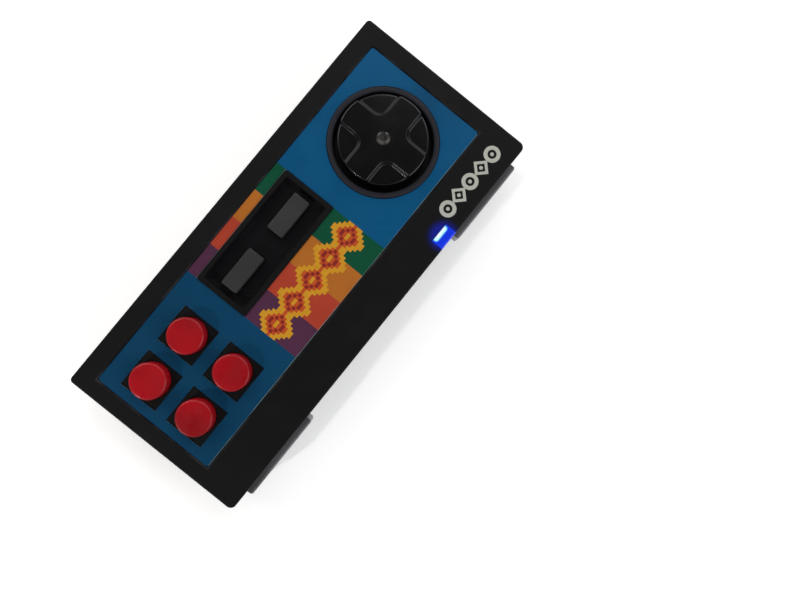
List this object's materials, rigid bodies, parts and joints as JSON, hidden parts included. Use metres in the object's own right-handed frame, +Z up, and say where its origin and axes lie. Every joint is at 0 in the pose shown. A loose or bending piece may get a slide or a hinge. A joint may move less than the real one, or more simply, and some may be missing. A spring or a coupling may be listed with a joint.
{
  "type": "wireless game pad",
  "caption": "Flat rectangular wireless game pad with a round tilting direction pad, raised push buttons, a recessed button pocket, hinged shoulder buttons and a battery bay.",
  "frame": {"origin": "centre of the flat underside that it stands on", "axes": "+Z up out of the face, +X to the player's right towards the action buttons, +Y towards the back edge with the shoulder buttons"},
  "size_m": [0.1334, 0.0602, 0.023],
  "materials": {
    "case_black": "fine matt texture",
    "label_print": "printed overlay, satin",
    "pad_black": "polished",
    "button_grey": "matt",
    "button_red": "satin",
    "shoulder_black": "satin, lightly worn",
    "light_pipe": "clear, lit blue",
    "led": "lit lens",
    "silicone": "soft, translucent grey",
    "board_green": "solder mask",
    "component_black": "moulded epoxy",
    "shield_steel": "tinned",
    "steel": "plain",
    "contact_nickel": "nickel plated",
    "ceramic_tan": "ceramic",
    "cell_wrap": "printed sleeve",
    "wire_red": "PVC",
    "wire_black": "PVC"
  },
  "bodies": {
    "case": {"top_shell": "case_black", "bottom_shell": "case_black", "face_label": "label_print", "dpad_membrane": "silicone", "select_start_membrane": "silicone", "action_membrane": "silicone", "left_shoulder_switch": "component_black", "right_shoulder_switch": "component_black", "shoulder_pins": "steel", "light_pipe": "light_pipe", "status_led": "led", "main_board": "board_green", "radio_module": "shield_steel", "controller_chip": "component_black", "clock_crystal": "shield_steel", "power_inductor": "component_black", "capacitors": "ceramic_tan", "battery_contact_positive": "contact_nickel", "battery_contact_negative": "contact_nickel", "battery_contact_bridge": "contact_nickel", "power_switch_body": "shield_steel", "cell_front": "cell_wrap", "cell_back": "cell_wrap", "battery_wire_red": "wire_red", "battery_wire_black": "wire_black", "case_screws": "steel", "board_screws": "steel"},
    "dpad_pivot": {"dpad_pivot_ball": "steel"},
    "dpad": {"dpad": "pad_black"},
    "select": {"select_button": "button_grey"},
    "start": {"start_button": "button_grey"},
    "action_front_left": {"action_button_front_left": "button_red"},
    "action_front_right": {"action_button_front_right": "button_red"},
    "action_back_left": {"action_button_back_left": "button_red"},
    "action_back_right": {"action_button_back_right": "button_red"},
    "left_shoulder": {"left_shoulder_button": "shoulder_black"},
    "right_shoulder": {"right_shoulder_button": "shoulder_black"},
    "left_plunger": {"left_switch_plunger": "ceramic_tan"},
    "right_plunger": {"right_switch_plunger": "ceramic_tan"},
    "battery_door": {"battery_door": "case_black"},
    "power_knob": {"power_switch_knob": "component_black"}
  },
  "joints": [
    {"name": "dpad_tilt_x", "type": "hinge", "parent": "case", "child": "dpad_pivot", "pos_m": [-0.0414, -0.0034, 0.0133], "axis": [1, 0, 0], "range_deg": [-4, 4], "stiffness_Nm_per_rad": 0.15, "deforming": ["dpad_membrane"]},
    {"name": "dpad_tilt_y", "type": "hinge", "parent": "dpad_pivot", "child": "dpad", "pos_m": [-0.0414, -0.0034, 0.0133], "axis": [0, 1, 0], "range_deg": [-4, 4], "stiffness_Nm_per_rad": 0.15, "deforming": ["dpad_membrane"]},
    {"name": "select_press", "type": "slide", "parent": "case", "child": "select", "axis": [0, 0, -1], "range_m": [0, 0.001], "stiffness_N_per_m": 600, "springref_m": -0.0004, "deforming": ["select_start_membrane"]},
    {"name": "start_press", "type": "slide", "parent": "case", "child": "start", "axis": [0, 0, -1], "range_m": [0, 0.001], "stiffness_N_per_m": 600, "springref_m": -0.0004, "deforming": ["select_start_membrane"]},
    {"name": "action_front_left_press", "type": "slide", "parent": "case", "child": "action_front_left", "axis": [0, 0, -1], "range_m": [0, 0.0015], "stiffness_N_per_m": 600, "springref_m": -0.0004, "deforming": ["action_membrane"]},
    {"name": "action_front_right_press", "type": "slide", "parent": "case", "child": "action_front_right", "axis": [0, 0, -1], "range_m": [0, 0.0015], "stiffness_N_per_m": 600, "springref_m": -0.0004, "deforming": ["action_membrane"]},
    {"name": "action_back_left_press", "type": "slide", "parent": "case", "child": "action_back_left", "axis": [0, 0, -1], "range_m": [0, 0.0015], "stiffness_N_per_m": 600, "springref_m": -0.0004, "deforming": ["action_membrane"]},
    {"name": "action_back_right_press", "type": "slide", "parent": "case", "child": "action_back_right", "axis": [0, 0, -1], "range_m": [0, 0.0015], "stiffness_N_per_m": 600, "springref_m": -0.0004, "deforming": ["action_membrane"]},
    {"name": "left_shoulder_press", "type": "hinge", "parent": "case", "child": "left_shoulder", "pos_m": [-0.03598, 0.025, 0.01125], "axis": [0, 0, 1], "range_deg": [0, 2.4], "stiffness_Nm_per_rad": 0.4, "springref_deg": -1.15},
    {"name": "left_plunger_press", "type": "slide", "parent": "case", "child": "left_plunger", "axis": [0, -1, 0], "range_m": [0, 0.00069]},
    {"name": "right_shoulder_press", "type": "hinge", "parent": "case", "child": "right_shoulder", "pos_m": [0.03598, 0.025, 0.01125], "axis": [0, 0, -1], "range_deg": [0, 2.4], "stiffness_Nm_per_rad": 0.4, "springref_deg": -1.15},
    {"name": "right_plunger_press", "type": "slide", "parent": "case", "child": "right_plunger", "axis": [0, -1, 0], "range_m": [0, 0.00069]},
    {"name": "battery_door_hinge", "type": "hinge", "parent": "case", "child": "battery_door", "pos_m": [0, 0.003, 0.0009], "axis": [-1, 0, 0], "range_deg": [0, 95]},
    {"name": "power_slide", "type": "slide", "parent": "case", "child": "power_knob", "axis": [1, 0, 0], "range_m": [0, 0.002]}
  ],
  "couplings": [
    {"joint": "left_plunger_press", "follows": "left_shoulder_press", "m_per_rad": 0.016},
    {"joint": "right_plunger_press", "follows": "right_shoulder_press", "m_per_rad": 0.016}
  ]
}
